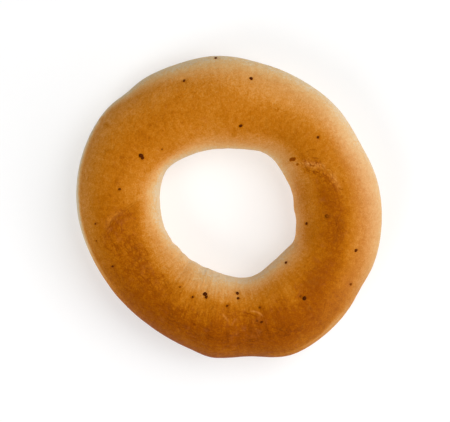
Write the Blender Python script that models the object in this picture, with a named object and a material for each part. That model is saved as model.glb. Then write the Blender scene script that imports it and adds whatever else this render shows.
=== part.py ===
"""A ring roll: a strand of dough bent into a ring, its ends lapped and pressed together, baked on a flat tray.
A few poppy seeds stick in its crust.

Metres, +Z up. The roll stands on Z = 0 and its box is centred on the Z axis. A direction is in degrees round
the ring, from +X towards +Y. Across is the share of the way from the hole's rim (0) to the outer rim (1), as
seen from above. A turn is the angle round the strand's own section: 0 at the outer side, 90 at the crown and
180 at the hole.
"""

import math
import random

import bmesh
import bpy
from mathutils import Matrix, Vector, noise
from mathutils.bvhtree import BVHTree

MM = 0.001

# Driving sizes of the baked ring
OUTER_DIAMETER = 110.0 * MM  # mean
HOLE_DIAMETER = 48.1 * MM  # mean
CROWN_HEIGHT = 27.5 * MM  # where the strand has its mean width
BELLY_SHARE = 0.43  # height of the strand's widest level, of the crown's

# Section: 2 is an ellipse, more is squarer
CROWN_POWER = 2.08
FOOT_POWER = 2.25
FOOT_DEPTH = 1.085  # how far the lower half would reach, of the belly's height, without the flat tray
WIDTH_TO_HEIGHT_POWER = 0.6  # a thicker stretch of the strand also rose higher

# The rims are circles with long waves: crests round the ring, height, direction of one crest
OUTER_WAVES = ((1, 0.3 * MM, 40), (2, 2.2 * MM, -39), (3, 0.6 * MM, 42))
HOLE_WAVES = ((1, 1.3 * MM, -114), (2, 1.7 * MM, -24), (3, 0.5 * MM, 53))
CROWN_WAVES = ((1, 0.5 * MM, 250), (2, 0.4 * MM, 70), (3, 0.35 * MM, 20))

# and local swells, or dents where the height is negative: direction, spread in degrees, height
OUTER_SWELLS = (
    (27, 12, -1.15 * MM),
    (93, 12, 1.05 * MM),
    (132, 6, -0.7 * MM),
    (262, 6, 0.7 * MM),
    (279, 10, -1.85 * MM),
    (291, 18, 1.65 * MM),
    (328, 7, -0.6 * MM),
)
HOLE_SWELLS = (
    (0, 8, -0.8 * MM),
    (55, 20, 2.0 * MM),
    (147, 13, 1.15 * MM),
    (183, 19, -0.75 * MM),
    (231, 5, 0.4 * MM),
    (287, 20, 1.45 * MM),
    (307, 20, -1.3 * MM),
    (333, 8, 0.9 * MM),
)

# The two laps where the strand's ends were pressed together. The upper layer lies on the hole's side of an edge,
# with a shallow crease along it
LAPS = (
    # direction and across of a point on the edge, its slope and its bend (across for each degree), and the middle
    # and the spread of the stretch that shows
    (183, 0.5, 0.03, 0.0, 184, 12),
    (357, 0.57, 0.0, 0.00025, 15, 19),
)
CREASE_DEPTH = 0.12 * MM
CREASE_WIDTH = 1.6 * MM
LAP_STEP = 0.3 * MM
LAP_REACH = 12.0 * MM
CROWN_SPREAD = 2  # the laps fade out towards the walls, sooner where this is smaller

# Unevenness of the crust
SWELL_HEIGHT = 0.3 * MM
SWELL_LENGTH = 17.0 * MM
PUCKER_HEIGHT = 0.45 * MM  # folds pressed into the wall of the hole as the strand was bent
PUCKER_LENGTH = 5.0 * MM
PUCKER_REACH = 0.16  # across
FOOT_BLEND = 4.0 * MM  # height over which all relief fades out towards the flat foot

# Mesh
STATIONS_ROUND = 120
STEPS_OVER_CRUST = 30

# Poppy seeds that show from above: direction, across, length
SEEDS = (
    (95.3, 0.963, 1.1 * MM),
    (109.8, 0.780, 1.1 * MM),
    (80.6, 0.777, 1.3 * MM),
    (82.3, 0.245, 1.3 * MM),
    (38.6, 0.570, 1.0 * MM),
    (149.5, 0.332, 1.7 * MM),
    (150.3, 0.302, 1.3 * MM),
    (139.2, 0.203, 0.7 * MM),
    (170.5, 0.462, 1.0 * MM),
    (186.8, 0.790, 0.8 * MM),
    (194.0, 0.845, 0.7 * MM),
    (206.6, 0.798, 0.9 * MM),
    (348.4, 0.115, 1.1 * MM),
    (355.0, 0.351, 1.2 * MM),
    (341.3, 0.730, 1.3 * MM),
    (315.8, 0.103, 1.1 * MM),
    (327.7, 0.847, 1.1 * MM),
    (309.5, 0.519, 1.3 * MM),
    (308.6, 0.478, 0.8 * MM),
    (254.1, 0.292, 1.6 * MM),
    (255.4, 0.318, 1.2 * MM),
    (247.5, 0.384, 0.9 * MM),
    (238.0, 0.356, 0.7 * MM),
    (275.1, 0.189, 1.3 * MM),
    (275.3, 0.251, 1.1 * MM),
    (268.5, 0.351, 1.0 * MM),
    (286.8, 0.365, 0.9 * MM),
    (285.6, 0.539, 1.0 * MM),
    (283.6, 0.525, 0.7 * MM),
)
HIDDEN_SEEDS = 10  # more of them, thinly spread over the walls that don't show from above
HIDDEN_SPREAD = (0.2, 0.8)  # where in its own sector each one may lie
HIDDEN_LEVELS = (0.15, 0.38)  # lowest and highest, of the crown's height
HIDDEN_WALLS = (-1, -1, 1)  # two on the outer wall for one on the hole's wall
HIDDEN_LENGTHS = (0.8, 1.1)  # shortest and longest, of a seed's usual length
SEED_LENGTH = 1.1 * MM
SEED_WIDTH_SHARE = 0.82
SEED_THICKNESS_SHARE = 0.75
SEED_PROUD = 0.12  # of its thickness: how far a seed's middle lies above the crust
SEED_YAW = 67  # degrees, from one seed to the next
SEED_SEGMENTS = 6
SEED_RINGS = 4
RANDOM_SEED = 7

CRUST_COLOUR = (0.52, 0.22, 0.045)
CRUST_ROUGHNESS = 0.5
SEED_COLOUR = (0.06, 0.02, 0.006)
SEED_ROUGHNESS = 0.4


def turned(direction, length=1.0):
    """A level vector of that length in that direction."""
    angle = math.radians(direction)
    return Vector((length * math.cos(angle), length * math.sin(angle), 0))


def apart(direction, other):
    """Degrees from other to direction, the short way round."""
    return (direction - other + 180) % 360 - 180


def smooth(share):
    share = min(max(share, 0.0), 1.0)
    return share * share * (3 - 2 * share)


def waved(direction, mean, waves, swells=()):
    """A mean size with its long waves and local swells in that direction."""
    size = mean
    for crests, height, crest in waves:
        size += height * math.cos(math.radians(crests * (direction - crest)))
    for middle, spread, height in swells:
        size += height * math.exp(-((apart(direction, middle) / spread) ** 2))
    return size


def strand_at(direction):
    """Radius of the strand's middle line, its width and the height of its crown."""
    outer = waved(direction, OUTER_DIAMETER / 2, OUTER_WAVES, OUTER_SWELLS)
    hole = waved(direction, HOLE_DIAMETER / 2, HOLE_WAVES, HOLE_SWELLS)
    width = outer - hole
    mean_width = (OUTER_DIAMETER - HOLE_DIAMETER) / 2
    rise = (width / mean_width) ** WIDTH_TO_HEIGHT_POWER
    return (outer + hole) / 2, width, waved(direction, CROWN_HEIGHT * rise, CROWN_WAVES)


def foot_turn():
    """The turn, below the outer side, at which the section meets the tray."""
    return -math.degrees(math.asin((1 / FOOT_DEPTH) ** (FOOT_POWER / 2)))


def section_point(turn, width, height):
    """Distance outwards from the strand's middle line, and height above the tray."""
    cosine = math.cos(math.radians(turn))
    sine = math.sin(math.radians(turn))
    belly = BELLY_SHARE * height
    over = sine >= 0
    power = CROWN_POWER if over else FOOT_POWER
    reach = height - belly if over else belly * FOOT_DEPTH
    out = math.copysign(abs(cosine) ** (2 / power), cosine) * width / 2
    rise = math.copysign(abs(sine) ** (2 / power), sine) * reach
    return out, max(belly + rise, 0.0)


def lap_relief(direction, across):
    """Crease and step of the laps at a point of the upper crust."""
    lift = 0.0
    for start, start_across, slope, bend, middle, spread in LAPS:
        aside = apart(direction, start)
        edge = start_across + (slope - bend * aside) * aside
        inside = (edge - across) * (OUTER_DIAMETER - HOLE_DIAMETER) / 2
        shown = math.exp(-((apart(direction, middle) / spread) ** 2))
        lift -= shown * CREASE_DEPTH * math.exp(-((inside / CREASE_WIDTH) ** 2))
        if inside > 0:
            lift += shown * LAP_STEP * smooth(inside / CREASE_WIDTH) * math.exp(-((inside / LAP_REACH) ** 2))
    return lift


def relief(direction, turn, across, up, middle_radius):
    """How far the uneven crust stands off the plain section."""
    around = turned(direction, middle_radius)
    section = turned(turn, (OUTER_DIAMETER - HOLE_DIAMETER) / 4)
    place = around + Vector((0, 0, section.y)) + turned(direction, section.x)
    lift = SWELL_HEIGHT * noise.noise(place / SWELL_LENGTH)
    folds = noise.noise(turned(direction, HOLE_DIAMETER / 2) / PUCKER_LENGTH)
    lift += PUCKER_HEIGHT * folds * math.exp(-((across / PUCKER_REACH) ** 2))
    crown = smooth(CROWN_SPREAD * math.sin(math.radians(turn)))
    lift += crown * lap_relief(direction, across)
    return lift * smooth(up / FOOT_BLEND)


def crust_point(direction, turn):
    middle_radius, width, height = strand_at(direction)
    out, up = section_point(turn, width, height)
    lift = relief(direction, turn, 0.5 + out / width, up, middle_radius)
    outwards = Vector((out, up - BELLY_SHARE * height)).normalized()
    return turned(direction, middle_radius + out + lift * outwards.x) + Vector((0, 0, up + lift * outwards.y))


def finish(name, colour, roughness):
    material = bpy.data.materials.new(name)
    material.use_nodes = True
    material.diffuse_color = (*colour, 1)
    shader = material.node_tree.nodes["Principled BSDF"]
    shader.inputs["Base Color"].default_value = (*colour, 1)
    shader.inputs["Roughness"].default_value = roughness
    return material


def add_object(name, shape, material, collection):
    """A named object from a bmesh, which is freed."""
    mesh = bpy.data.meshes.new(name)
    shape.to_mesh(mesh)
    shape.free()
    mesh.materials.append(material)
    made = bpy.data.objects.new(name, mesh)
    collection.objects.link(made)
    return made


def make_ring(material):
    """The strand from foot edge to foot edge over the crown, all round, closed by its flat foot."""
    low = foot_turn()
    shape = bmesh.new()
    loops = []
    for station in range(STATIONS_ROUND):
        direction = 360 * station / STATIONS_ROUND
        turns = (low + (180 - 2 * low) * step / STEPS_OVER_CRUST for step in range(STEPS_OVER_CRUST + 1))
        loops.append([shape.verts.new(crust_point(direction, turn)) for turn in turns])
    for loop, following in zip(loops, loops[1:] + loops[:1]):
        for step in range(STEPS_OVER_CRUST + 1):
            ahead = (step + 1) % (STEPS_OVER_CRUST + 1)
            shape.faces.new((loop[step], following[step], following[ahead], loop[ahead]))
    bmesh.ops.recalc_face_normals(shape, faces=shape.faces)
    return add_object("ring_roll", shape, material, bpy.context.scene.collection)


def shown_seeds(ring):
    """Place, outward normal and length of each seed that shows, found by dropping it on the crust."""
    for direction, across, length in SEEDS:
        middle_radius, width, _ = strand_at(direction)
        start = turned(direction, middle_radius + (across - 0.5) * width) + Vector((0, 0, 2 * CROWN_HEIGHT))
        place, normal, _, _ = ring.ray_cast(start, Vector((0, 0, -1)))
        yield place, normal, length


def hidden_seeds(ring):
    """The same for seeds on the outer wall and the hole's wall, spread by a seeded draw."""
    draw = random.Random(RANDOM_SEED)
    for number in range(HIDDEN_SEEDS):
        direction = 360 * (number + draw.uniform(*HIDDEN_SPREAD)) / HIDDEN_SEEDS
        middle_radius, _, height = strand_at(direction)
        level = Vector((0, 0, height * draw.uniform(*HIDDEN_LEVELS)))
        aim = turned(direction) * draw.choice(HIDDEN_WALLS)
        start = level + turned(direction, middle_radius) - aim * OUTER_DIAMETER / 3
        place, normal, _, _ = ring.ray_cast(start, aim)
        yield place, normal, SEED_LENGTH * draw.uniform(*HIDDEN_LENGTHS)


def make_seed(number, place, normal, length, material, collection):
    shape = bmesh.new()
    bmesh.ops.create_uvsphere(shape, u_segments=SEED_SEGMENTS, v_segments=SEED_RINGS, radius=0.5)
    size = Vector((length, length * SEED_WIDTH_SHARE, length * SEED_THICKNESS_SHARE))
    upright = normal.to_track_quat("Z", "Y").to_matrix().to_4x4()
    yaw = Matrix.Rotation(math.radians(SEED_YAW * number), 4, "Z")
    middle = place + normal * SEED_PROUD * size.z
    shape.transform(Matrix.Translation(middle) @ upright @ yaw @ Matrix.Diagonal((*size, 1)))
    return add_object(f"seed_{number}", shape, material, collection)


def fuse(ring, seeds):
    """Joins the seeds to the ring in one solid, and removes their collection."""
    join = ring.modifiers.new("seeds", "BOOLEAN")
    join.operation = "UNION"
    join.operand_type = "COLLECTION"
    join.collection = seeds
    join.material_mode = "TRANSFER"
    graph = bpy.context.evaluated_depsgraph_get()
    graph.update()
    ring.data = bpy.data.meshes.new_from_object(ring.evaluated_get(graph), depsgraph=graph)
    ring.modifiers.clear()
    for seed in list(seeds.objects):
        bpy.data.objects.remove(seed)
    bpy.data.collections.remove(seeds)


def centre(ring):
    """Moves the mesh so that its box is centred on the Z axis. Its foot is on Z = 0 already."""
    corners = [Vector(corner) for corner in ring.bound_box]
    middle = (corners[0] + corners[6]) / 2
    ring.data.transform(Matrix.Translation((-middle.x, -middle.y, 0)))


def main():
    for old in list(bpy.data.objects):
        bpy.data.objects.remove(old)
    ring = make_ring(finish("baked_crust", CRUST_COLOUR, CRUST_ROUGHNESS))
    seeds = bpy.data.collections.new("seeds")
    bpy.context.scene.collection.children.link(seeds)
    seed_finish = finish("poppy_seed", SEED_COLOUR, SEED_ROUGHNESS)
    bpy.context.view_layer.update()
    tree = BVHTree.FromObject(ring, bpy.context.evaluated_depsgraph_get())
    spots = [*shown_seeds(tree), *hidden_seeds(tree)]
    for number, (place, normal, length) in enumerate(spots):
        make_seed(number, place, normal, length, seed_finish, seeds)
    fuse(ring, seeds)
    bpy.context.view_layer.update()
    centre(ring)
    ring.data.shade_smooth()


main()
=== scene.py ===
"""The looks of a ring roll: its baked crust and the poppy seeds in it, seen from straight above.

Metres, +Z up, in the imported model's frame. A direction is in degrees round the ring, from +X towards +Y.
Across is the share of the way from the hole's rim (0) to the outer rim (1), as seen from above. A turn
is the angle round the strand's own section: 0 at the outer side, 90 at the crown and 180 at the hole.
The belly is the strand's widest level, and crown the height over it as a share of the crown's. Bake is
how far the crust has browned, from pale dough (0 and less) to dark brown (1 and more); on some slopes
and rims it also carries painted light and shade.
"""

import math
import random

import bpy
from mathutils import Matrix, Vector


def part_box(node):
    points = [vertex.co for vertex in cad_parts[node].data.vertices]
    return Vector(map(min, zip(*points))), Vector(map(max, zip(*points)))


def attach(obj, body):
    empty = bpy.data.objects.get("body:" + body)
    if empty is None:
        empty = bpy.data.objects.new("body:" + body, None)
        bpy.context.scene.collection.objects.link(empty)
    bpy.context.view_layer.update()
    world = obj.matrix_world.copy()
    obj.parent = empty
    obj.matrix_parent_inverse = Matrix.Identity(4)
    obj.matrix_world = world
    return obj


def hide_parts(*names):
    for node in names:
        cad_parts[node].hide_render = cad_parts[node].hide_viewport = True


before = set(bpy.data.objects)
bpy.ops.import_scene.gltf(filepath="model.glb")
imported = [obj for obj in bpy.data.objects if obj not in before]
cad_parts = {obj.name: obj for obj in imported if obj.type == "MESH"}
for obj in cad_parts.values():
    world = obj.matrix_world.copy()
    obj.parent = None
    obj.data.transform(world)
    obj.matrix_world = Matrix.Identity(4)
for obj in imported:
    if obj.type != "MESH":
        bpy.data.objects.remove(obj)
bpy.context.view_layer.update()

NODE = "ring_roll"
MM = 0.001

# The ring's driving sizes, as in the solid
RING_SIZES = {
    "Outer Diameter": 110.0 * MM,  # mean
    "Hole Diameter": 48.1 * MM,  # mean
    "Crown Height": 27.5 * MM,  # where the strand has its mean width
}
SECTION_SIZES = {
    "Belly Share": 0.43,
    "Crown Power": 2.08,
    "Foot Power": 2.25,
    "Foot Depth": 1.085,
    "Foot Rounding": 0.6 * MM,
}
WIDTH_TO_HEIGHT_POWER = 0.6  # a thicker stretch of the strand also rose higher

# The rims are circles with long waves: crests round the ring, height, direction of one crest
OUTER_WAVES = ((1, 0.3 * MM, 40), (2, 2.2 * MM, -39), (3, 0.6 * MM, 42))
HOLE_WAVES = ((1, 1.3 * MM, -114), (2, 1.7 * MM, -24), (3, 0.5 * MM, 53))
CROWN_WAVES = ((1, 0.5 * MM, 250), (2, 0.4 * MM, 70), (3, 0.35 * MM, 20))

# and local swells, or dents where the height is negative: direction, spread in degrees, height
OUTER_SWELLS = (
    (27, 12, -1.15 * MM),
    (93, 12, 1.05 * MM),
    (132, 6, -0.7 * MM),
    (262, 6, 0.7 * MM),
    (279, 10, -1.85 * MM),
    (291, 18, 1.65 * MM),
    (328, 7, -0.6 * MM),
)
HOLE_SWELLS = (
    (0, 8, -0.8 * MM),
    (55, 20, 2.0 * MM),
    (147, 13, 1.15 * MM),
    (183, 19, -0.75 * MM),
    (231, 5, 0.4 * MM),
    (287, 20, 1.45 * MM),
    (307, 20, -1.3 * MM),
    (333, 8, 0.9 * MM),
)

# The two laps of the strand's ends. The upper layer lies on the hole's side of an edge: direction and
# across of a point on the edge, its slope and its bend (across for each degree), and the middle and
# spread of what shows
LAPS = (
    (183, 0.5, 0.03, 0.0, 182, 9),
    (357, 0.57, 0.0, 0.00025, 15, 19),
)
LAP_SIDE = 90.0  # degrees from the middle of what shows: the other lap lies further off
LAP_TOP = (0.0, 0.5)  # sine of the turn over which the laps set in above the belly

# Relief of the crust
RELIEF_SIZES = {
    "Crease Depth": 0.12 * MM,
    "Crease Width": 1.6 * MM,
    "Lap Step": 0.3 * MM,
    "Lap Reach": 12.0 * MM,
    "Swell Height": 0.3 * MM,
    "Swell Length": 17.0 * MM,
    "Pucker Height": 0.7 * MM,
    "Pucker Length": 3.6 * MM,
    "Pucker Reach": 0.14,
    "Outer Pucker": 0.25,  # share of the hole's rim's
    "Foot Blend": 4.0 * MM,
    "Wrinkle Height": 0.07 * MM,
    "Wrinkle Size": 2.6 * MM,
    "Streak Height": 0.08 * MM,
    "Streak Width": 1.2 * MM,
    "Streak Length": 8.0 * MM,
    "Dimple Depth": 0.22 * MM,
    "Dimple Reach": 0.85 * MM,
    "Pore Size": 1.6 * MM,
    "Pore Depth": 0.25 * MM,
}
PUCKERED = (226, 26, 0.3)  # middle and spread of the stretch that is puckered most, and the share elsewhere
STREAK_ZONE = (266, 44, (0.02, 0.2), (0.55, 0.85))  # middle and spread, across where they start and end
PORE_NOISE = (0.1, 0.6)  # the noise over which a pore gets deep
FOOT_LEVELS = (0.64, 0.75)  # share of the crown's height under the belly's level over which the foot begins
ON_TOP = (-0.3, 0.0)  # crown over which the painted sheen on the top begins
WALL_LEVELS = (0.0, 0.4)  # share of the crown's height under the belly's level over which the walls brown
SHADED_BROWN_RIM = (252, 60)  # middle and spread of the stretch whose outer rim browned too, drawn darker as painted shade

SPOT_BROWNING = 3  # how many times faster than its relief a spot's browning sets in
SPOT_EDGE = (0.6, 1.3)  # radii over which it ends
NO_SPOT = 9.0  # radii, where none is near
# Blisters, or pits where the height is negative: direction, across, radius, height and browning
SPOTS = (
    (38.1, 0.162, 0.85 * MM, 0.2 * MM, 0.6),
    (37.1, 0.187, 0.85 * MM, 0.2 * MM, 0.6),
    (32.6, 0.195, 0.6 * MM, 0.15 * MM, 0.4),
    (24.8, 0.27, 0.4 * MM, -0.1 * MM, 0.12),
    (22.7, 0.32, 0.4 * MM, -0.1 * MM, 0.12),
    (20.4, 0.36, 0.4 * MM, -0.1 * MM, 0.12),
    (17.6, 0.41, 0.4 * MM, -0.1 * MM, 0.12),
    (119.7, 0.35, 0.5 * MM, -0.05 * MM, 0.15),
    (146.2, 0.87, 1.1 * MM, 0.0, 0.12),
    (253.3, 0.68, 0.6 * MM, -0.1 * MM, 0.2),
    (292.6, 0.42, 0.4 * MM, -0.05 * MM, 0.15),
    (308.7, 0.65, 0.5 * MM, -0.05 * MM, 0.15),
    (86.4, 0.16, 1.6 * MM, 0.0, 0.1),
    (233.8, 0.7, 0.9 * MM, 0.0, 0.1),
    (145.3, 0.97, 0.9 * MM, 0.0, 0.15),
)

# Stretches with fine wrinkles along the strand: direction, across, spreads, amount
WRINKLED_PATCHES = (
    (28, 0.31, 6, 0.1, 1.2),
    (17, 0.46, 8, 0.07, 0.8),
    (352, 0.45, 12, 0.12, 0.5),
    (210, 0.5, 22, 0.25, 0.75),
    (255, 0.7, 26, 0.2, 0.7),
    (293, 0.7, 18, 0.2, 0.7),
    (100, 0.5, 60, 0.3, 0.2),
)

# Fine creases of the skin, or ridges where the amount is negative, drawn pale as a painted highlight: middle
# (x, y), heading in degrees, half of its length, how far it bows to its left, width, and how much darker it
# is drawn
CREASES = (
    (31.0, 17.7, -9, 1.5, -0.2, 0.35, 0.2),
    (29.4, 20.0, 7, 2.2, 0.5, 0.35, 0.12),
    (29.8, 15.2, -20, 1.0, -0.4, 0.35, 0.25),
    (29.6, 12.7, -13, 3.1, 0.3, 0.4, 0.16),
    (30.6, 14.8, -8, 4.8, 0.4, 1.9, -0.11),
    (38.2, 9.2, -61, 4.4, 0.0, 2.0, -0.08),
    (31.6, 15.8, 30, 0.7, 0.3, 0.4, 0.2),
    (33.0, 14.4, -40, 0.8, 0.3, 0.4, 0.14),
    (34.4, 11.4, -35, 1.7, 0.0, 0.4, 0.16),
    (40.0, 6.8, -20, 1.0, -0.4, 0.35, 0.2),
    (36.7, 1.6, -18, 1.7, 0.4, 0.4, 0.12),
    (36.5, -0.2, -18, 1.1, 0.3, 0.35, 0.12),
    (6.2, -38.5, -13, 3.9, 0.5, 0.4, 0.16),
    (6.2, -39.5, -15, 2.4, 0.4, 0.4, 0.12),
    (9.8, -38.4, -22, 2.9, 0.7, 0.7, -0.14),
    (6.6, -46.1, -17, 0.9, 0.0, 0.4, 0.14),
    (-1.3, -39.6, -52, 2.0, 0.0, 0.8, -0.1),
    (1.6, -41.2, -122, 1.7, 0.0, 0.8, -0.08),
    (-41.6, -7.6, -97, 2.9, -0.4, 0.5, 0.08),
    (-39.8, -7.4, -95, 3.8, -0.4, 0.5, 0.08),
    (-38.2, -6.8, -96, 3.6, -0.4, 0.5, 0.07),
    (-43.5, -15.1, -27, 1.6, 0.0, 0.4, 0.16),
    (-41.2, -4.6, 40, 5.3, 0.9, 2.2, -0.05),
)
CREASED_ABOVE = (12 * MM, 15 * MM)  # the levels over which they set in
CREASE_WANDER = 0.4 * MM
CREASE_ENDS = (0.5, 1.1)  # share of the half length over which one fades out

# Browning: how far it went on the crown, and how wide a pale band it left along each rim
BAKE_SIZES = {
    "Palest": -0.02,  # the bands along the rims
    "Least Bake": -0.08,  # also where patches make a band paler
    "Crown Bake": 0.73,  # mean
    "Hole Band": 0.312,  # mean, across
    "Outer Band": 0.139,  # mean, across
    "Narrowest Band": 0.07,  # across
    "Wall Bake": 0.12,  # how much more the lower walls browned than the palest band
    "Wall Reach": 0.22,  # across: how far down the outer wall that brown rim, partly painted shade, fades out
    "Rim Wander": 0.2,  # of its stretch's spread
    "Rim Wander Size": 13.5 * MM,
    "Foot Bake": 0.62,
    "Lap Bake": 0.1,  # how much more the upper layer of a lap browned
    "Cloud Size": 9.0 * MM,
    "Cloud Depth": 0.06,
}
CROWN_BAKE_WAVES = ((1, 0.239, -100), (2, 0.131, 73), (3, 0.07, 58))
HOLE_BAND_WAVES = ((1, 0.103, -91), (2, 0.084, 40), (3, 0.037, -9))
# the outer pale band is widest towards 59°, on the slopes that face the key light: partly paler crust, partly
# painted sheen
OUTER_BAND_WAVES = ((1, 0.328, 59), (2, 0.024, 31), (3, 0.091, -46))
# and patches that browned more, or less where the amount is negative, a few of them painted light and shade:
# direction, across, spreads, amount
BAKED_AND_SHADED_PATCHES = (
    (225, 0.12, 22, 0.12, 0.22),
    (349, 0.94, 36, 0.09, 0.22),
    (349, 0.49, 40, 0.21, 0.28),
    (323, 0.96, 12, 0.06, 0.28),
    (130, 0.45, 35, 0.30, 0.28),
    (295, 0.28, 34, 0.11, -0.28),
    (74, 0.83, 40, 0.14, 0.18),
    (78, 0.07, 40, 0.07, 0.25),
    (341, 0.12, 14, 0.13, 0.28),
    (277, 0.94, 40, 0.12, -0.19),
    (264, 0.44, 30, 0.24, -0.28),
    (186, 0.99, 32, 0.18, -0.22),
    (303, 0.93, 14, 0.07, -0.12),
    (5, 0.16, 28, 0.30, 0.28),
    (305, 0.43, 6, 0.12, -0.19),
    (10, 0.10, 16, 0.08, 0.18),
    (170, 0.18, 14, 0.12, -0.16),
    (66, 0.57, 24, 0.12, -0.08),
    (20, 0.36, 10, 0.12, -0.08),
    (170, 0.37, 12, 0.1, -0.08),
    (246, 0.5, 14, 0.12, -0.08),
    (342, 0.67, 12, 0.1, -0.08),
    (200, 0.13, 10, 0.08, 0.12),
    (140, 0.1, 12, 0.06, 0.12),
    (230, 0.58, 22, 0.2, -0.05),
    # painted light: this row and the next pale the outer slopes turned from the key light
    (260, 0.85, 14, 0.1, -0.09),
    (186, 0.84, 16, 0.08, -0.08),
    # painted light: pales the hole's slope turned from the key light
    (22, 0.2, 14, 0.08, -0.07),
    (18, 0.5, 8, 0.08, -0.08),
    (284, 0.18, 16, 0.12, 0.06),
    (302, 0.35, 10, 0.1, 0.06),
    (259, 0.53, 12, 0.08, 0.06),
    # painted shade: darker along the outer rim's edge at the lower right
    (318, 0.98, 26, 0.05, 0.09),
)
# painted sheen: a pale pinkish veil on the outer slope that faces the key light: middle, spread, across where
# it starts
PAINTED_SHEEN = (15, 42, (0.6, 0.95))

# How finely the crust is meshed, from a plain ring tube, and the seed of its noises and draws
STATIONS_ROUND = 640
STEPS_OVER_CRUST = 150
PLAIN_RING = 1.0  # radius of its middle line
PLAIN_SECTION = 0.3  # radius of its section
RANDOM_SEED = 7

# Poppy seeds that show from above: direction, across, length, and how far a brown film of crust covers each
SEEDS = (
    (95.3, 0.963, 1.1 * MM, 0.3),
    (109.8, 0.780, 1.1 * MM, 0.2),
    (80.6, 0.777, 1.3 * MM, 0.1),
    (82.3, 0.245, 1.3 * MM, 0.1),
    (38.6, 0.570, 1.0 * MM, 0.3),
    (149.5, 0.332, 1.7 * MM, 0.1),
    (150.3, 0.302, 1.3 * MM, 0.2),
    (139.2, 0.203, 0.7 * MM, 0.6),
    (170.5, 0.462, 1.0 * MM, 0.4),
    (186.8, 0.790, 0.8 * MM, 0.4),
    (194.0, 0.845, 0.7 * MM, 0.7),
    (206.6, 0.798, 0.9 * MM, 0.3),
    (348.4, 0.115, 1.1 * MM, 0.2),
    (355.0, 0.351, 1.5 * MM, 0.6),
    (341.3, 0.730, 1.3 * MM, 0.3),
    (315.8, 0.103, 1.1 * MM, 0.2),
    (327.7, 0.847, 1.1 * MM, 0.6),
    (309.5, 0.519, 1.6 * MM, 0.0),
    (308.6, 0.478, 0.8 * MM, 0.7),
    (254.1, 0.292, 1.6 * MM, 0.0),
    (255.4, 0.318, 1.2 * MM, 0.1),
    (247.5, 0.384, 0.9 * MM, 0.2),
    (238.0, 0.356, 0.7 * MM, 0.7),
    (275.1, 0.189, 1.3 * MM, 0.1),
    (275.3, 0.251, 1.1 * MM, 0.1),
    (268.5, 0.351, 1.0 * MM, 0.4),
    (286.8, 0.365, 0.9 * MM, 0.5),
    (285.6, 0.539, 1.0 * MM, 0.3),
    (283.6, 0.525, 0.7 * MM, 0.5),
)
HIDDEN_SEEDS = 10  # more of them, thinly spread over the walls that don't show from above
HIDDEN_SPREAD = (0.2, 0.8)  # where in its own sector each one may lie
HIDDEN_LEVELS = (0.15, 0.38)  # lowest and highest, of the crown's height
HIDDEN_WALLS = (-1, -1, 1)  # two on the outer wall for one on the hole's wall
HIDDEN_LENGTHS = (0.8, 1.1)  # shortest and longest, of a seed's usual length
HIDDEN_FILM = 0.3
RAY_START = 1 / 3  # of the outer diameter: how far from the strand's middle line a ray at a wall starts
SEED_LENGTH = 1.1 * MM
SEED_YAW = 67  # degrees, from one seed to the next
SEED_SUBDIVISIONS = 4
SEED_SIZES = {
    "Seed Width": 0.82,
    "Seed Thickness": 0.75,
    "Seed Bend": 0.35,
    "Seed Proud": 0.12,  # of its thickness: how far a seed's middle lies above the crust
    "Seed Lump Height": 0.09 * MM,
    "Seed Lump Size": 0.7 * MM,
}

# Crust colour by bake
BAKED_SHADES = (
    (-0.3, (0.77, 0.67, 0.51, 1)),
    (0.0, (0.75, 0.59, 0.37, 1)),
    (0.133, (0.765, 0.467, 0.19, 1)),
    (0.29, (0.717, 0.356, 0.106, 1)),
    (0.484, (0.621, 0.25, 0.042, 1)),
    (0.6, (0.542, 0.188, 0.014, 1)),
    (0.732, (0.466, 0.14, 0.003, 1)),
    (0.89, (0.345, 0.086, 0.001, 1)),
    (1.0, (0.3, 0.068, 0.0008, 1)),
    (1.3, (0.18, 0.034, 0.0005, 1)),
)
# colour and share of the painted sheen, the whitish pink that the key light's gloss would give
PAINTED_SHEEN_SHADE = (0.9, 0.72, 0.62, 1)
PAINTED_SHEEN_SHARE = 0.11
FLOUR_SHADE = (0.62, 0.4, 0.2, 1)  # thin flour over the browned foot
FLOUR_SHARE = 0.3
FLOUR_UNEVEN = 0.8
# pink of the crust's uneven tint, also the painted highlight on ridges and lips
PINK_TINT_AND_HIGHLIGHT = (0.75, 0.32, 0.14, 1)
OLIVE_SHADE = (0.4, 0.26, 0.06, 1)
TINT_SHARE = 0.1  # of pink and of olive
TINT_NOISE = (0.0, 0.8)  # the noise over which a tint sets in
FOLD_SPACING = 1.4 * MM
FOLD_WANDER = 0.8  # of the spacing
FOLD_REACH = 4.5 * MM
FOLD_BREAKS = (-0.1, 0.5)  # the noise over which they set in again
LIP_WIDTH = 1.5 * MM
LIP_WRINKLED = (0.3, 1.0)  # it shows where the skin is wrinkled that much
LIP_BREAKS = (-0.2, 0.5)
# how much paler the lip is drawn: a painted highlight
LIP_HIGHLIGHT = 0.12
WRINKLE_ALONG = 0.4  # wrinkles in each streak's width along the strand
WRINKLE_OVER = 6.0  # and in each streak's length across it
WRINKLE_BREAKS = (0.2, 0.9)
WRINKLE_WIDTH = (0.0, 0.2)  # the noise either side of a wrinkle's line, and of a lip's pucker's
WRINKLED_GRAIN = 0.5  # how much stronger the grain is where the skin is wrinkled
FIBRES = (0.4, 0.8)  # how clear the fibres are everywhere, and how much clearer where it is streaked
HALO_REACH = 0.9 * MM

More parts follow.
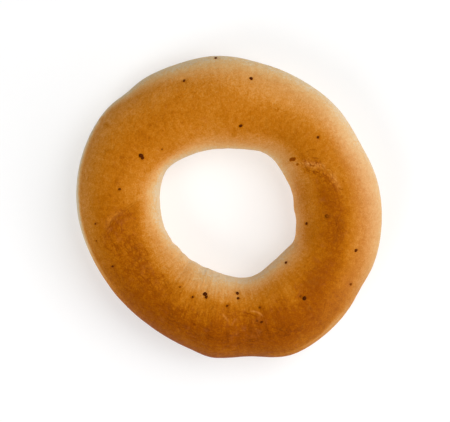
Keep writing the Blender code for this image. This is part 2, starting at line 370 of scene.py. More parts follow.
# Noises of the crust's finish: size, seed, and detail and roughness where they aren't the usual ones. The
# fibres' and wrinkles' sizes are in streaks
NOISES = {
    "fibres": (1.0, 5.0, 3.0, 0.6),
    "fold wander": (5.0 * MM, 11.0),
    "fold breaks": (2.2 * MM, 13.0),
    "flour": (4.0 * MM, 21.0, 4.0, 0.7),
    "tray": (7.0 * MM, 23.0, 3.0, 0.6),
    "tint": (2.6 * MM, 27.0, 3.0, 0.6),
    "wrinkles": (1.0, 31.0),
    "wrinkle breaks": (2.0, 33.0, 1.0),
    "puckers": (1.9 * MM, 35.0),
    "lip breaks": (2.2 * MM, 37.0, 2.0, 0.6),
    "crease wander": (1.5 * MM, 41.0),
}
# How much each mark of the crust deepens its colour, the grain more so where the skin is wrinkled
GRAIN_DEPTHS = {"coarse": 0.17, "fine": 0.26, "fibres": 0.22}
MARK_DEPTHS = {
    "specks": 0.1,
    "folds": 0.09,
    "halo": 0.12,
    "wrinkles": 0.14,
    "puckers": 0.2,
    # the lip's negative depth draws it paler: a painted highlight
    "lip": -0.08,
    "creases": 1.0,
    "tray": 0.25,
    "foot specks": 0.2,
}
# how far it stands up
MARK_HEIGHTS = {
    "coarse": 0.16 * MM,
    "fine": 0.09 * MM,
    "fibres": 0.14 * MM,
    "folds": -0.09 * MM,
    "wrinkles": -0.12 * MM,
    "lip": 0.12 * MM,
    "puckers": -0.12 * MM,
    "creases": -0.5 * MM,
}
# and how much rougher it is
MARK_ROUGHNESS = {"coarse": 0.1, "bake": -0.08, "foot": 0.2}
ROUGHNESS = 0.55
CRUST_SPECULAR = 0.015

# The grain: its size, the specks' spacing and share, and a seed
CRUST_GRAIN = (0.5 * MM, 2.4 * MM, 0.3, 3.0)
SEED_GRAIN = (0.08 * MM, 0.16 * MM, 0.7, 9.0)
COARSER = 3  # how many times larger the coarse grain is
GRAIN_DETAIL = (3.0, 0.6)  # detail and roughness
SPECK_REACH = (0.08, 0.14)  # of the spacing: the smallest, and how much larger the largest is
SPECK_EDGE = (0.5, 1.0)

# The seeds' colour, from bare to filmed over, and what their marks add to that, their height and roughness
SEED_SHADES = (
    (0.0, (0.0343, 0.00605, 0.0, 1)),
    (0.35, (0.117, 0.0212, 0.0, 1)),
    (0.7, (0.283, 0.0723, 0.0006, 1)),
    (1.0, (0.434, 0.138, 0.0037, 1)),
)
BARE_SEED = 0.15
SEED_DEPTHS = {"film": 0.7, "coarse": 0.3, "specks": -0.15}
SEED_HEIGHTS = {"fine": 0.01 * MM, "specks": -0.02 * MM}
SEED_ROUGHNESS = {"fine": 0.1}
SEED_SPECULAR = 0.04

# The picture's frame: its centre on the part, its width at the belly's level, and the light
FRAME_CENTRE = (-1.46 * MM, -1.46 * MM)
FRAME_WIDTH = 164.1 * MM
BELLY_LEVEL = 12 * MM
CAMERA_HEIGHT = 0.9
SENSOR = 36.0
FLOOR_SIZE = 3.0
FLOOR_DROP = 0.2 * MM  # under the foot
FLOOR_COLOUR = (0.5, 0.5, 0.5, 1)
FLOOR_ROUGHNESS = 0.9
FLOOR_GLOW = 0.5
WHITE = (1, 1, 1, 1)
AMBIENT = 0.05
# Softboxes: azimuth, elevation, distance, size, watts, and whether it makes highlights
SOFTBOXES = {
    "key": (25, 58, 1.0, 0.8, 8.4, True),
    "fill": (225, 45, 1.0, 0.5, 4.7, False),
    "side": (345, 32, 1.0, 0.5, 2.4, False),
}


class Field:
    """A value that changes over a surface: a node's output. Arithmetic with it adds nodes to its tree."""

    def __init__(self, socket):
        self.socket = socket
        self.tree = socket.id_data

    def math(self, operation, *others):
        return Field(add(self.tree, "ShaderNodeMath", self, *others, operation=operation).outputs[0])

    def __add__(self, other):
        return self.math("ADD", other)

    def __sub__(self, other):
        return self.math("SUBTRACT", other)

    def __mul__(self, other):
        return self.math("MULTIPLY", other)

    def __truediv__(self, other):
        return self.math("DIVIDE", other)

    def __pow__(self, other):
        return self.math("POWER", other)

    def __neg__(self):
        return self * -1

    def __rsub__(self, other):
        return -self + other

    def __rtruediv__(self, other):
        return self ** -1 * other

    __radd__ = __add__

    def part(self, axis):
        """One coordinate of a place: 0, 1 or 2."""
        return Field(add(self.tree, "ShaderNodeSeparateXYZ", self).outputs[axis])

    def cosine(self):
        return self.math("RADIANS").math("COSINE")

    def sine(self):
        return self.math("RADIANS").math("SINE")

    def bell(self, spread):
        """1 where the value is 0, falling away over that spread."""
        return (-((self / spread) ** 2)).math("EXPONENT")

    def smooth(self, low=0.0, high=1.0):
        """0 up to low, 1 from high, and an easy slope between them."""
        node = add(self.tree, "ShaderNodeMapRange", self, low, high, interpolation_type="SMOOTHSTEP")
        return Field(node.outputs[0])


def add(tree, kind, *values, named=None, **settings):
    """A new node. Values go into its inputs in order, named ones by the input's name."""
    node = tree.nodes.new(kind)
    for setting, value in settings.items():
        setattr(node, setting, value)
    for place, value in zip(node.inputs, values):
        put(value, place)
    for name, value in (named or {}).items():
        put(value, next(place for place in node.inputs if place.name == name and place.enabled))
    return node


def put(value, place):
    """A field is linked to the input, a plain value is set on it, and None leaves it as it is."""
    if isinstance(value, Field):
        place.id_data.links.new(value.socket, place)
    elif value is not None:
        place.default_value = value


def first(node):
    """The first output of a node that is in use."""
    return Field(next(socket for socket in node.outputs if socket.enabled))


def place_of(tree, x, y, z):
    return first(add(tree, "ShaderNodeCombineXYZ", x, y, z))


def sum_of(place, other):
    return first(add(place.tree, "ShaderNodeVectorMath", place, other, operation="ADD"))


def scaled(place, factor):
    return first(add(place.tree, "ShaderNodeVectorMath", place, named={"Scale": factor}, operation="SCALE"))


def round_at(direction, radius):
    """The level place at that radius in that direction."""
    return place_of(direction.tree, direction.cosine() * radius, direction.sine() * radius, 0.0)


def apart(direction, other):
    """Degrees from other to direction, the short way round."""
    return (direction - other + 180).math("FLOORED_MODULO", 360) - 180


def uneven(place, size, seed, detail=2.0, roughness=0.5):
    """Noise from about -1 to 1, with lumps of that size."""
    named = {"Vector": place, "W": seed, "Scale": 1 / size, "Detail": detail, "Roughness": roughness}
    return first(add(place.tree, "ShaderNodeTexNoise", named=named, noise_dimensions="4D")) * 2 - 1


def weighted(marks, weights):
    """The sum of the marks that are named, each by its weight."""
    total = 0.0
    for name, weight in weights.items():
        total = marks[name] * weight + total
    return total


def waved(direction, size, waves, swells=()):
    """A mean size with its long waves and local swells in that direction."""
    for crests, height, crest in waves:
        size = size + ((direction - crest) * crests).cosine() * height
    for middle, spread, height in swells:
        size = size + apart(direction, middle).bell(spread) * height
    return size


def strand_at(direction, sizes):
    """Radius of the strand's middle line, its width and the height of its crown."""
    outer = waved(direction, sizes["Outer Diameter"] / 2, OUTER_WAVES, OUTER_SWELLS)
    hole = waved(direction, sizes["Hole Diameter"] / 2, HOLE_WAVES, HOLE_SWELLS)
    width = outer - hole
    mean_width = (sizes["Outer Diameter"] - sizes["Hole Diameter"]) / 2
    rise = (width / mean_width) ** WIDTH_TO_HEIGHT_POWER
    return (outer + hole) / 2, width, waved(direction, sizes["Crown Height"] * rise, CROWN_WAVES)


def inputs_of(tree):
    """A tree's inputs, as fields by their names."""
    node = tree.nodes.new("NodeGroupInput")
    return {socket.name: Field(socket) for socket in node.outputs if socket.name}


def new_tree(name, inputs, kinds):
    """A geometry tree, and its inputs: numbers with their defaults, and inputs of other kinds."""
    tree = bpy.data.node_groups.new(name, "GeometryNodeTree")
    tree.interface.new_socket("Geometry", in_out="OUTPUT", socket_type="NodeSocketGeometry")
    tree.interface.new_socket("Geometry", in_out="INPUT", socket_type="NodeSocketGeometry")
    for label, value in inputs.items():
        kind = "NodeSocketInt" if isinstance(value, int) else "NodeSocketFloat"
        tree.interface.new_socket(label, in_out="INPUT", socket_type=kind).default_value = value
    for label, kind in kinds.items():
        tree.interface.new_socket(label, in_out="INPUT", socket_type=kind)
    return tree, inputs_of(tree)


def end_tree(tree, geometry, finish):
    """The last steps of every tree: real meshes in place of instances, smooth shading and the finish."""
    real = first(add(tree, "GeometryNodeRealizeInstances", geometry))
    smooth = first(add(tree, "GeometryNodeSetShadeSmooth", real))
    finished = first(add(tree, "GeometryNodeSetMaterial", smooth, named={"Material": finish}))
    add(tree, "NodeGroupOutput", finished)


def kept(geometry, **fields):
    """Geometry that carries the fields' values as they are here, and the fields that read them back."""
    node = add(geometry.tree, "GeometryNodeCaptureAttribute", geometry)
    for name in fields:
        node.capture_items.new("FLOAT", name)
    for name, field in fields.items():
        put(field, node.inputs[name])
    return Field(node.outputs[0]), [Field(node.outputs[name]) for name in fields]


def stored(geometry, name, field, kind="FLOAT"):
    """Geometry with the field's values in a named attribute, for the finish to read."""
    named = {"Geometry": geometry, "Name": name, "Value": field}
    return first(add(geometry.tree, "GeometryNodeStoreNamedAttribute", named=named, data_type=kind))


def read(tree, name):
    """A number that the base mesh's points carry."""
    return first(add(tree, "GeometryNodeInputNamedAttribute", name))


def set_places(geometry, **where):
    """Geometry with its points at a Position, or moved by an Offset."""
    return first(add(geometry.tree, "GeometryNodeSetPosition", geometry, named=where))


def seed_hits(points, crust, sizes):
    """Where each seed meets the crust, and the crust's normal there, by a ray from its starting place."""
    tree = points.tree
    direction, across, level, wall = (read(tree, name) for name in ("direction", "across", "level", "wall"))
    middle, width, height = strand_at(direction, sizes)
    on_wall = wall.math("ABSOLUTE")
    from_above = 1 - on_wall
    out = from_above * (across - 0.5) * width + wall * sizes["Outer Diameter"] * RAY_START
    up = from_above * sizes["Crown Height"] * 2 + on_wall * level * height
    start = sum_of(round_at(direction, middle + out), place_of(tree, 0.0, 0.0, up))
    aim = sum_of(round_at(direction, -wall), place_of(tree, 0.0, 0.0, -from_above))
    named = {"Target Geometry": crust, "Source Position": start, "Ray Direction": aim, "Ray Length": 1.0}
    ray = add(tree, "GeometryNodeRaycast", named=named)
    return Field(ray.outputs["Hit Position"]), Field(ray.outputs["Hit Normal"])


def lapped(direction, across, strand, sizes):
    """The laps' relief, their upper layers (0 to 1), how far inside an edge a place is, and what shows."""
    lift, upper, inside, shown = 0.0, 0.0, 0.0, 0.0
    for start, start_across, slope, bend, middle, spread in LAPS:
        aside = apart(direction, start)
        edge = (slope - aside * bend) * aside + start_across
        this_inside = (edge - across) * strand
        this_shown = apart(direction, middle).bell(spread)
        rise = (this_inside / sizes["Crease Width"]).smooth()
        step = this_shown * rise * this_inside.bell(sizes["Lap Reach"])
        groove = this_shown * this_inside.bell(sizes["Crease Width"])
        lift = step * sizes["Lap Step"] - groove * sizes["Crease Depth"] + lift
        upper, shown = step + upper, this_shown + shown
        this_side = apart(direction, middle).math("ABSOLUTE").math("LESS_THAN", LAP_SIDE)
        inside = this_inside * this_side + inside
    return lift, upper, inside, shown


def streaked(direction, across):
    """Where the crust was stretched into fine lines across the strand, from 0 to 1."""
    middle, spread, near, far = STREAK_ZONE
    return apart(direction, middle).bell(spread) * across.smooth(*near) * (1 - across.smooth(*far))


def spotted(direction, across, middle, strand, crown):
    """The blisters' and pits' relief and browning, and the distance to the nearest one in its radii."""
    lift, browning, nearest = 0.0, 0.0, NO_SPOT
    for spot_direction, spot_across, spread, height, brown in SPOTS:
        aside = apart(direction, spot_direction).math("RADIANS") * middle
        out = (across - spot_across) * strand
        away = (aside * aside + out * out).math("SQRT") / spread
        near = away.bell(1.0) * crown.math("GREATER_THAN", 0.0)
        lift = near * height + lift
        browning = (near * SPOT_BROWNING).math("MINIMUM", brown).math("MAXIMUM", browning)
        nearest = away.math("MINIMUM", nearest)
    return lift, browning, nearest


def fibre_place(direction, across, middle, strand, sizes):
    """A place for noise that is stretched across the strand, as the dough was."""
    over = place_of(direction.tree, 0.0, 0.0, across * strand / sizes["Streak Length"])
    return sum_of(round_at(direction, middle / sizes["Streak Width"]), over)


def fine_relief(place, fibres, stretched, seed_distance, spots, on_foot, sizes):
    """Wrinkles, streaks, blisters, seed dimples and the pores of the foot, along the crust's normal."""
    wrinkles = uneven(place, sizes["Wrinkle Size"], sizes["Seed"] + 1, detail=3.0, roughness=0.55)
    streaks = uneven(fibres, 1.0, sizes["Seed"] + 2, detail=1.0) * stretched
    pores = uneven(place, sizes["Pore Size"], sizes["Seed"] + 3).smooth(*PORE_NOISE)
    dimple = seed_distance.bell(sizes["Dimple Reach"])
    fine = wrinkles * sizes["Wrinkle Height"] + streaks * sizes["Streak Height"]
    fine = fine - dimple * sizes["Dimple Depth"] + spots
    return fine * (1 - on_foot) - pores * sizes["Pore Depth"] * on_foot


def patched(direction, across, patches):
    """The sum of soft patches, each with its direction, across, two spreads and an amount."""
    total = 0.0
    for middle, middle_across, spread, spread_across, amount in patches:
        here = apart(direction, middle).bell(spread) * (across - middle_across).bell(spread_across)
        total = here * amount + total
    return total


def over_section(across, crown):
    """Across, carried on over the rims and down the walls: below 0 in the hole, above 1 outside."""
    from_rim = across - across.math("GREATER_THAN", 0.5)
    return across - from_rim * crown.math("LESS_THAN", 0.0) * 2


def bake_and_painted_light_at(direction, over, crown, upper, place, sizes):
    """How far the crust has browned, with painted light and shade on some slopes and rims: most on the crown,
    least on the walls, and uneven as the oven was.
    """
    narrowest = sizes["Narrowest Band"]
    hole_band = waved(direction, sizes["Hole Band"], HOLE_BAND_WAVES).math("MAXIMUM", narrowest)
    outer_band = waved(direction, sizes["Outer Band"], OUTER_BAND_WAVES).math("MAXIMUM", narrowest)
    # the outer rim turned from the key light keeps the crown's brown up to its edge and down the wall: partly
    # browned crust, partly painted shade
    wander = uneven(place, sizes["Rim Wander Size"], sizes["Seed"] + 5) * sizes["Rim Wander"]
    middle, spread = SHADED_BROWN_RIM
    aside = apart(direction, middle) / spread + wander
    shaded_brown_rim = (aside * aside).bell(1.0) * ((1 - over) / sizes["Wall Reach"] + 1).smooth()
    outer = ((1 - over) / outer_band).smooth().math("MAXIMUM", shaded_brown_rim)
    inside = (over / hole_band).smooth() * outer
    bake = (waved(direction, sizes["Crown Bake"], CROWN_BAKE_WAVES) - sizes["Palest"]) * inside
    bake = patched(direction, over, BAKED_AND_SHADED_PATCHES) + bake
    wall = (-crown).smooth(*WALL_LEVELS)
    bake = bake + upper * sizes["Lap Bake"] + wall * sizes["Wall Bake"] + sizes["Palest"]
    on_foot = (-crown).smooth(*FOOT_LEVELS)
    bake = (sizes["Foot Bake"] - bake) * on_foot + bake
    bake = bake.math("MAXIMUM", sizes["Least Bake"])
    return bake + uneven(place, sizes["Cloud Size"], sizes["Seed"] + 4) * sizes["Cloud Depth"]


def circle(steps, radius):
    """A circle of that many steps."""
    return first(add(steps.tree, "GeometryNodeCurvePrimitiveCircle", steps, named={"Radius": radius}))


def section_at(turn, width, height, sizes):
    """A place on the plain section: how far out from the strand's middle line, its level, and the belly's."""
    belly = height * sizes["Belly Share"]
    cosine, sine = turn.cosine(), turn.sine()
    over = sine.math("GREATER_THAN", 0.0)
    power = sizes["Foot Power"] + over * (sizes["Crown Power"] - sizes["Foot Power"])
    low_reach = belly * sizes["Foot Depth"]
    reach = low_reach + over * (height - belly - low_reach)
    out = cosine.math("SIGN") * cosine.math("ABSOLUTE") ** (2 / power) * width / 2
    rise = sine.math("SIGN") * sine.math("ABSOLUTE") ** (2 / power) * reach
    return out, (belly + rise).math("SMOOTH_MAX", 0.0, sizes["Foot Rounding"]), belly


def coarse_relief(direction, across, plain, sizes):
    """The swells all over and the puckers along both rims."""
    swell = uneven(plain, sizes["Swell Length"], sizes["Seed"], detail=0.0) * sizes["Swell Height"]
    rim = round_at(direction, sizes["Hole Diameter"] / 2)
    middle, spread, elsewhere = PUCKERED
    puckered = apart(direction, middle).bell(spread) + elsewhere
    pucker = uneven(rim, sizes["Pucker Length"], sizes["Seed"], detail=1.0) * sizes["Pucker Height"]
    reach = sizes["Pucker Reach"]
    rims = across.bell(reach) + (1 - across).bell(reach) * sizes["Outer Pucker"]
    return swell + pucker * puckered * rims


def crust_tree():
    """The crust: a plain ring tube set to the strand's section and relief, with its browning and painted
    light in attributes.
    """
    inputs = {**RING_SIZES, **SECTION_SIZES, **RELIEF_SIZES, **BAKE_SIZES}
    inputs |= {"Stations Round": STATIONS_ROUND, "Steps Over Crust": STEPS_OVER_CRUST}
    inputs |= {"Seed": float(RANDOM_SEED)}
    tree, sizes = new_tree("crust", inputs, {"Finish": "NodeSocketMaterial"})
    loop = circle(sizes["Stations Round"], PLAIN_RING)
    section = circle(sizes["Steps Over Crust"], PLAIN_SECTION)
    tube = first(add(tree, "GeometryNodeCurveToMesh", loop, section))
    place = first(tree.nodes.new("GeometryNodeInputPosition"))
    x, y, z = (place.part(axis) for axis in range(3))
    direction = y.math("ARCTAN2", x).math("DEGREES")
    turn = z.math("ARCTAN2", (x * x + y * y).math("SQRT") - PLAIN_RING).math("DEGREES")

    middle, width, height = strand_at(direction, sizes)
    out, up, belly = section_at(turn, width, height, sizes)
    across = out / width + 0.5
    strand = (sizes["Outer Diameter"] - sizes["Hole Diameter"]) / 2
    laps, upper, lap_inside, lap_shown = lapped(direction, across, strand, sizes)
    on_top = turn.sine().smooth(*LAP_TOP)
    plain = sum_of(round_at(direction, middle + out), place_of(tree, 0.0, 0.0, up))
    lift = coarse_relief(direction, across, plain, sizes) + laps * on_top
    lift = lift * (up / sizes["Foot Blend"]).smooth()
    over_belly = up - belly
    length = (out * out + over_belly * over_belly).math("SQRT")
    lifted = place_of(tree, 0.0, 0.0, up + lift * over_belly / length)
    form = sum_of(round_at(direction, middle + out + lift * out / length), lifted)
    crown = over_belly / (height - belly)
    carried = {"direction": direction, "across": across, "middle": middle, "crown": crown}
    carried |= {"upper": upper * on_top, "lap_inside": lap_inside, "lap_shown": lap_shown * on_top}
    plain_ring, carried = kept(tube, **carried)
    direction, across, middle, crown, upper, lap_inside, lap_shown = carried
    crust = set_places(plain_ring, Position=form)

    seeds = set_places(sizes["Geometry"], Position=seed_hits(sizes["Geometry"], crust, sizes)[0])
    near = add(tree, "GeometryNodeProximity", seeds, target_element="POINTS")
    crust, (seed_distance,) = kept(crust, seed_distance=Field(near.outputs["Distance"]))
    over = over_section(across, crown)
    crust, (bake,) = kept(crust, bake=bake_and_painted_light_at(direction, over, crown, upper, place, sizes))
    fibres = fibre_place(direction, across, middle, strand, sizes)
    stretched = streaked(direction, across)
    on_foot = (-crown).smooth(*FOOT_LEVELS)
    spot_lift, spot, spot_distance = spotted(direction, across, middle, strand, crown)
    # painted sheen on the outer slope of the top that faces the key light
    bloom = apart(direction, PAINTED_SHEEN[0]).bell(PAINTED_SHEEN[1]) * across.smooth(*PAINTED_SHEEN[2]) * crown.smooth(*ON_TOP)
    fine = fine_relief(place, fibres, stretched, seed_distance, spot_lift, on_foot, sizes)
    crust = set_places(crust, Offset=scaled(first(tree.nodes.new("GeometryNodeInputNormal")), fine))
    crust = stored(crust, "fibres", fibres, kind="FLOAT_VECTOR")
    masks = {
        "bake": bake,
        "spot": spot,
        "spot_distance": spot_distance,
        "stretched": stretched,
        "foot": on_foot,
        "bloom": bloom,
        "wrinkled": patched(direction, over, WRINKLED_PATCHES),
        "lap_inside": lap_inside,
        "lap_shown": lap_shown,
        "seed_distance": seed_distance,
    }
    for name, mask in masks.items():
        crust = stored(crust, name, mask)
    end_tree(tree, crust, sizes["Finish"])
    return tree


def seed_points():
    """A point for each seed, with what its place follows from: those that show, and some on the walls."""
    draw = random.Random(RANDOM_SEED)
    rows = [(direction, across, 0.0, 0.0, length, film) for direction, across, length, film in SEEDS]
    for number in range(HIDDEN_SEEDS):
        direction = 360 * (number + draw.uniform(*HIDDEN_SPREAD)) / HIDDEN_SEEDS
        level = draw.uniform(*HIDDEN_LEVELS)
        wall = -draw.choice(HIDDEN_WALLS)
        rows.append((direction, 0.5, level, wall, SEED_LENGTH * draw.uniform(*HIDDEN_LENGTHS), HIDDEN_FILM))
    mesh = bpy.data.meshes.new("seed_points")
    mesh.from_pydata([(0, 0, 0)] * len(rows), [], [])
    for name, values in zip(("direction", "across", "level", "wall", "length", "film"), zip(*rows)):
        mesh.attributes.new(name, "FLOAT", "POINT").data.foreach_set("value", values)
    return mesh


def seed_tree():
    """One kidney-shaped seed, set wherever a seed's ray meets the crust."""
    kinds = {"Crust": "NodeSocketObject", "Finish": "NodeSocketMaterial"}
    tree, sizes = new_tree("seeds", {**RING_SIZES, **SEED_SIZES}, kinds)
    crust = add(tree, "GeometryNodeObjectInfo", sizes["Crust"])
    hit, normal = seed_hits(sizes["Geometry"], Field(crust.outputs["Geometry"]), sizes)
    length = read(tree, "length")
    proud = scaled(normal, length * sizes["Seed Thickness"] * sizes["Seed Proud"])
    points = set_places(sizes["Geometry"], Position=sum_of(hit, proud))

    ball = first(add(tree, "GeometryNodeMeshIcoSphere", 0.5, SEED_SUBDIVISIONS))
    place = first(tree.nodes.new("GeometryNodeInputPosition"))
    x, y, z = (place.part(axis) for axis in range(3))
    bend = x * x * sizes["Seed Bend"] - sizes["Seed Bend"] / 8  # half of it lies either way
    y = y * sizes["Seed Width"] + bend
    seed = set_places(ball, Position=place_of(tree, x, y, z * sizes["Seed Thickness"]))

    index = first(tree.nodes.new("GeometryNodeInputIndex"))
    yaw = place_of(tree, 0.0, 0.0, index * math.radians(SEED_YAW))
    upright = first(add(tree, "FunctionNodeAlignRotationToVector", yaw, None, normal, axis="Z"))
    named = {"Instance": seed, "Rotation": upright, "Scale": length}
    laid = first(add(tree, "GeometryNodeInstanceOnPoints", points, named=named))
    real = first(add(tree, "GeometryNodeRealizeInstances", laid))
    lumps = uneven(place, sizes["Seed Lump Size"], seed=1.0, detail=1.0) * sizes["Seed Lump Height"]
    lumpy = set_places(real, Offset=scaled(first(tree.nodes.new("GeometryNodeInputNormal")), lumps))
    end_tree(tree, lumpy, sizes["Finish"])
    return tree


def grow(name, points, tree, **values):
    """The plain mesh that a tree makes from the points, as an object of that name."""
    piece = bpy.data.objects.new(name, points)
    bpy.context.scene.collection.objects.link(piece)
    maker = piece.modifiers.new("maker", "NODES")
    maker.node_group = tree
    for item in tree.interface.items_tree:
        if item.name in values:
            maker[item.identifier] = values[item.name]
    graph = bpy.context.evaluated_depsgraph_get()
    mesh = bpy.data.meshes.new_from_object(piece.evaluated_get(graph), depsgraph=graph)
    mesh.name = name
    piece.modifiers.clear()
    piece.data = mesh
    return piece


def shader_group(name, inputs, outputs):
    """A shader node group, and its inputs as fields."""
    group = bpy.data.node_groups.new(name, "ShaderNodeTree")
    for label, kind, value in inputs:
        socket = group.interface.new_socket(label, in_out="INPUT", socket_type=kind)
        if value is not None:
            socket.default_value = value
    for label in outputs:
        group.interface.new_socket(label, in_out="OUTPUT", socket_type="NodeSocketFloat")
    return group, inputs_of(group)


def fine_grain_group():
    """Small unevenness of a skin: coarse and fine mottle (-1 to 1) and dark specks (0 to 1)."""
    inputs = (
        ("Place", "NodeSocketVector", None),
        ("Grain Size", "NodeSocketFloat", 0.5 * MM),
        ("Speck Spacing", "NodeSocketFloat", 2.4 * MM),
        ("Speck Share", "NodeSocketFloat", 0.3),
        ("Seed", "NodeSocketFloat", 0.0),
    )
    group, given = shader_group("fine_grain", inputs, ("Coarse", "Fine", "Specks"))
    place, size, seed = given["Place"], given["Grain Size"], given["Seed"]
    coarse = uneven(place, size * COARSER, seed, *GRAIN_DETAIL)
    fine = uneven(place, size, seed + 1, *GRAIN_DETAIL)
    named = {"Vector": place, "Scale": 1 / given["Speck Spacing"], "Randomness": 1.0}
    cells = add(group, "ShaderNodeTexVoronoi", named=named)
    drawn = Field(cells.outputs["Color"])
    smallest, larger = SPECK_REACH
    away = Field(cells.outputs["Distance"]) / (drawn.part(1) * larger + smallest)
    specks = (1 - away.smooth(*SPECK_EDGE)) * drawn.part(0).math("LESS_THAN", given["Speck Share"])
    add(group, "NodeGroupOutput", named={"Coarse": coarse, "Fine": fine, "Specks": specks})
    return group


def attribute(tree, name):
    return Field(add(tree, "ShaderNodeAttribute", attribute_name=name).outputs["Fac"])


def new_finish(name):
    """A material and its Principled shader."""
    material = bpy.data.materials.new(name)
    material.use_nodes = True
    return material, material.node_tree.nodes["Principled BSDF"]


def dress(shader, colour, roughness, specular, height):
    """A shader's colour and gloss, and the relief of its skin."""
    bump = add(height.tree, "ShaderNodeBump", named={"Distance": 1.0, "Height": height})
    put(colour, shader.inputs["Base Color"])
    put(roughness, shader.inputs["Roughness"])
    put(specular, shader.inputs["Specular IOR Level"])
    put(first(bump), shader.inputs["Normal"])


def place_on(tree):
    """The place on the piece."""
    return Field(tree.nodes.new("ShaderNodeTexCoord").outputs["Object"])


def grain_on(group, place, grain):
    """Coarse and fine mottle and specks at that place."""
    node = add(place.tree, "ShaderNodeGroup", place, *grain, node_tree=group)
    return {name.lower(): Field(socket) for name, socket in node.outputs.items()}


def shaded_by(amount, shades):
    """The colour at that place of a ramp of shades, which may reach below 0 and past 1."""
    low = shades[0][0]
    span = shades[-1][0] - low
    ramp = add(amount.tree, "ShaderNodeValToRGB", (amount - low) / span)
    stops = ramp.color_ramp.elements
    while len(stops) < len(shades):
        stops.new(1.0)
    for stop, (position, colour) in zip(stops, shades):
        stop.position = (position - low) / span
        stop.color = colour
    return first(ramp)


def mixed(share, colour, other):
    """A colour with a share of another."""
    node = add(share.tree, "ShaderNodeMix", data_type="RGBA", clamp_factor=True)
    for name, value in (("Factor_Float", share), ("A_Color", colour), ("B_Color", other)):
        put(value, next(place for place in node.inputs if place.identifier == name))
    return first(node)


def lap_folds(place, inside):
    """Fine folds of the skin that follow a lap's edge, from -1 to 1."""
    wander = uneven(place, *NOISES["fold wander"])
    broken = uneven(place, *NOISES["fold breaks"]).smooth(*FOLD_BREAKS)
    waves = ((inside / FOLD_SPACING + wander * FOLD_WANDER) * 360).sine()
    return waves * broken * (inside - FOLD_REACH / 3).bell(FOLD_REACH)


def lap_lip(place, inside):
    """The thin raised lip of a lap, just outside its edge and broken, from 0 to 1; the crust draws it paler
    as a painted highlight.
    """
    broken = uneven(place, *NOISES["lip breaks"]).smooth(*LIP_BREAKS)
    return (inside + LIP_WIDTH / 2).bell(LIP_WIDTH) * broken


def skin_wrinkles(fibres, wrinkled):
    """Thin wrinkles along the strand, broken off less where it is more wrinkled, from 0 to 1."""
    x, y, z = (fibres.part(axis) for axis in range(3))
    along = place_of(fibres.tree, x * WRINKLE_ALONG, y * WRINKLE_ALONG, z * WRINKLE_OVER)
    line = 1 - uneven(along, *NOISES["wrinkles"]).math("ABSOLUTE").smooth(*WRINKLE_WIDTH)
    return line * (uneven(along, *NOISES["wrinkle breaks"]) + wrinkled).smooth(*WRINKLE_BREAKS)


def crease_group():
    """One bowed crease of a skin that lies level: from 1 on its line down to 0 beside it."""
    inputs = (
        ("Place", "NodeSocketVector", None),
        ("Middle X", "NodeSocketFloat", 0.0),
        ("Middle Y", "NodeSocketFloat", 0.0),
        ("Heading", "NodeSocketFloat", 0.0),
        ("Reach", "NodeSocketFloat", 2 * MM),
        ("Bow", "NodeSocketFloat", 0.0),
        ("Width", "NodeSocketFloat", 0.4 * MM),
    )
    group, given = shader_group("crease", inputs, ("Crease",))
    x = given["Place"].part(0) - given["Middle X"]
    y = given["Place"].part(1) - given["Middle Y"]
    cosine, sine = given["Heading"].cosine(), given["Heading"].sine()
    along = (x * cosine + y * sine) / given["Reach"]
    aside = y * cosine - x * sine - (1 - along * along) * given["Bow"]
    line = aside.bell(given["Width"] / 2) * (1 - along.math("ABSOLUTE").smooth(*CREASE_ENDS))
    add(group, "NodeGroupOutput", named={"Crease": line})
    return group


def creased(place):
    """All the creases at that place, each with its own amount."""
    group = crease_group()
    x, y, z = (place.part(axis) for axis in range(3))
    wander = uneven(place, *NOISES["crease wander"]) * CREASE_WANDER
    skin = place_of(place.tree, x + wander, y - wander, z)
    total = 0.0
    for middle_x, middle_y, heading, reach, bow, width, amount in CREASES:
        values = (middle_x * MM, middle_y * MM, heading, reach * MM, bow * MM, width * MM)
        total = first(add(place.tree, "ShaderNodeGroup", skin, *values, node_tree=group)) * amount + total
    return total * z.smooth(*CREASED_ABOVE)


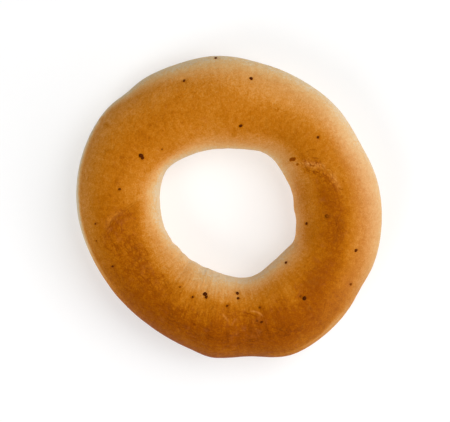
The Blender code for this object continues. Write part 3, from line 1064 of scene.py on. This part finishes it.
def crust_finish(group):
    """Satin baked crust, coloured by how far it browned and by painted light, shade and sheen, with its
    grain, fibres, creases and halos round the seeds.
    """
    material, shader = new_finish("baked_crust")
    tree = material.node_tree
    place = place_on(tree)
    fibres = Field(add(tree, "ShaderNodeAttribute", attribute_name="fibres").outputs["Vector"])
    bake, foot, wrinkled = (attribute(tree, name) for name in ("bake", "foot", "wrinkled"))
    inside = attribute(tree, "lap_inside")
    marks = grain_on(group, place, CRUST_GRAIN)
    everywhere, clearer = FIBRES
    clear = attribute(tree, "stretched") * clearer + everywhere
    lip = lap_lip(place, inside) * wrinkled.smooth(*LIP_WRINKLED)
    gaps = uneven(place, *NOISES["puckers"]).math("ABSOLUTE").smooth(*WRINKLE_WIDTH)
    marks |= {
        "bake": bake,
        "fibres": uneven(fibres, *NOISES["fibres"]) * clear,
        "folds": lap_folds(place, inside) * attribute(tree, "lap_shown"),
        "halo": attribute(tree, "seed_distance").bell(HALO_REACH),
        "wrinkles": skin_wrinkles(fibres, wrinkled),
        "lip": lip,
        "puckers": lip * (1 - gaps),
        "creases": creased(place),
        "foot": foot,
        "foot specks": foot * marks["specks"],
        "tray": foot * uneven(place, *NOISES["tray"]),
    }
    rougher = wrinkled.math("MINIMUM", 1.0) * WRINKLED_GRAIN + 1
    spot = attribute(tree, "spot") * (1 - attribute(tree, "spot_distance").smooth(*SPOT_EDGE))
    depth = bake + weighted(marks, GRAIN_DEPTHS) * rougher + weighted(marks, MARK_DEPTHS) + spot
    # painted sheen: a whitish pink veil over the baked colour on the outer slope facing the key light
    colour = mixed(attribute(tree, "bloom") * PAINTED_SHEEN_SHARE, shaded_by(depth, BAKED_SHADES), PAINTED_SHEEN_SHADE)
    tint = uneven(place, *NOISES["tint"])
    # painted highlight: pink paleness on the crease ridges and along the lips
    painted_highlight = (-marks["creases"]).math("MAXIMUM", 0.0) + (lip - marks["puckers"]) * LIP_HIGHLIGHT
    colour = mixed(tint.smooth(*TINT_NOISE) * TINT_SHARE + painted_highlight, colour, PINK_TINT_AND_HIGHLIGHT)
    colour = mixed((-tint).smooth(*TINT_NOISE) * TINT_SHARE, colour, OLIVE_SHADE)
    flour = foot * (uneven(place, *NOISES["flour"]) * FLOUR_UNEVEN + FLOUR_SHARE)
    colour = mixed(flour, colour, FLOUR_SHADE)
    roughness = weighted(marks, MARK_ROUGHNESS) + ROUGHNESS
    dress(shader, colour, roughness, CRUST_SPECULAR, weighted(marks, MARK_HEIGHTS))
    return material


def seed_finish(group):
    """Poppy seed baked brown-black, with a netted skin, under a film of crust on some."""
    material, shader = new_finish("poppy_seed")
    tree = material.node_tree
    marks = grain_on(group, place_on(tree), SEED_GRAIN) | {"film": attribute(tree, "film")}
    colour = shaded_by(weighted(marks, SEED_DEPTHS) + BARE_SEED, SEED_SHADES)
    roughness = weighted(marks, SEED_ROUGHNESS) + ROUGHNESS
    dress(shader, colour, roughness, SEED_SPECULAR, weighted(marks, SEED_HEIGHTS))
    return material


def level_middle(piece):
    """The middle of a piece's outline, as seen from above."""
    sides = list(zip(*(vertex.co for vertex in piece.data.vertices)))[:2]
    return Vector((*((min(side) + max(side)) / 2 for side in sides), 0))


def make_roll():
    """The crust and the seeds, brought to the solid's place."""
    group = fine_grain_group()
    seeds_in = seed_points()
    crust = grow("crust", seeds_in.copy(), crust_tree(), Finish=crust_finish(group))
    seeds = grow("poppy_seeds", seeds_in, seed_tree(), Crust=crust, Finish=seed_finish(group))
    low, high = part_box(NODE)
    shift = (low + high) / 2 - level_middle(crust)
    for piece in (crust, seeds):
        for vertex in piece.data.vertices:
            vertex.co.x += shift.x
            vertex.co.y += shift.y
    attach(crust, "root")
    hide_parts(NODE)
    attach(seeds, "root")


def floor_finish():
    """Matte white, lit a little from below."""
    material, shader = new_finish("floor")
    shader.inputs["Base Color"].default_value = FLOOR_COLOUR
    shader.inputs["Roughness"].default_value = FLOOR_ROUGHNESS
    shader.inputs["Emission Color"].default_value = WHITE
    shader.inputs["Emission Strength"].default_value = FLOOR_GLOW
    return material


def make_floor():
    mesh = bpy.data.meshes.new("floor")
    half = FLOOR_SIZE / 2
    corners = [(-half, -half, 0), (half, -half, 0), (half, half, 0), (-half, half, 0)]
    mesh.from_pydata(corners, [], [(0, 1, 2, 3)])
    mesh.materials.append(floor_finish())
    floor = bpy.data.objects.new("floor", mesh)
    floor.location.z = -FLOOR_DROP
    bpy.context.scene.collection.objects.link(floor)


def make_light():
    world = bpy.data.worlds.new("studio")
    world.use_nodes = True
    background = world.node_tree.nodes["Background"]
    background.inputs["Color"].default_value = WHITE
    background.inputs["Strength"].default_value = AMBIENT
    bpy.context.scene.world = world
    for name, (azimuth, elevation, distance, size, watts, glossy) in SOFTBOXES.items():
        lamp = bpy.data.lights.new(name, "AREA")
        lamp.size = size
        lamp.energy = watts
        azimuth, elevation = math.radians(azimuth), math.radians(elevation)
        level = math.cos(elevation)
        away = Vector((math.cos(azimuth) * level, math.sin(azimuth) * level, math.sin(elevation)))
        softbox = bpy.data.objects.new(name, lamp)
        softbox.location = away * distance
        softbox.visible_glossy = glossy
        softbox.rotation_euler = away.to_track_quat("Z", "Y").to_euler()
        bpy.context.scene.collection.objects.link(softbox)


def make_camera():
    """Straight above, with the picture's top towards +Y."""
    lens = bpy.data.cameras.new("camera")
    lens.sensor_width = SENSOR
    lens.lens = SENSOR * (CAMERA_HEIGHT - BELLY_LEVEL) / FRAME_WIDTH
    camera = bpy.data.objects.new("camera", lens)
    camera.location = (*FRAME_CENTRE, CAMERA_HEIGHT)
    bpy.context.scene.collection.objects.link(camera)
    bpy.context.scene.camera = camera


make_roll()
make_floor()
make_light()
make_camera()
bpy.context.scene.view_settings.view_transform = "Standard"
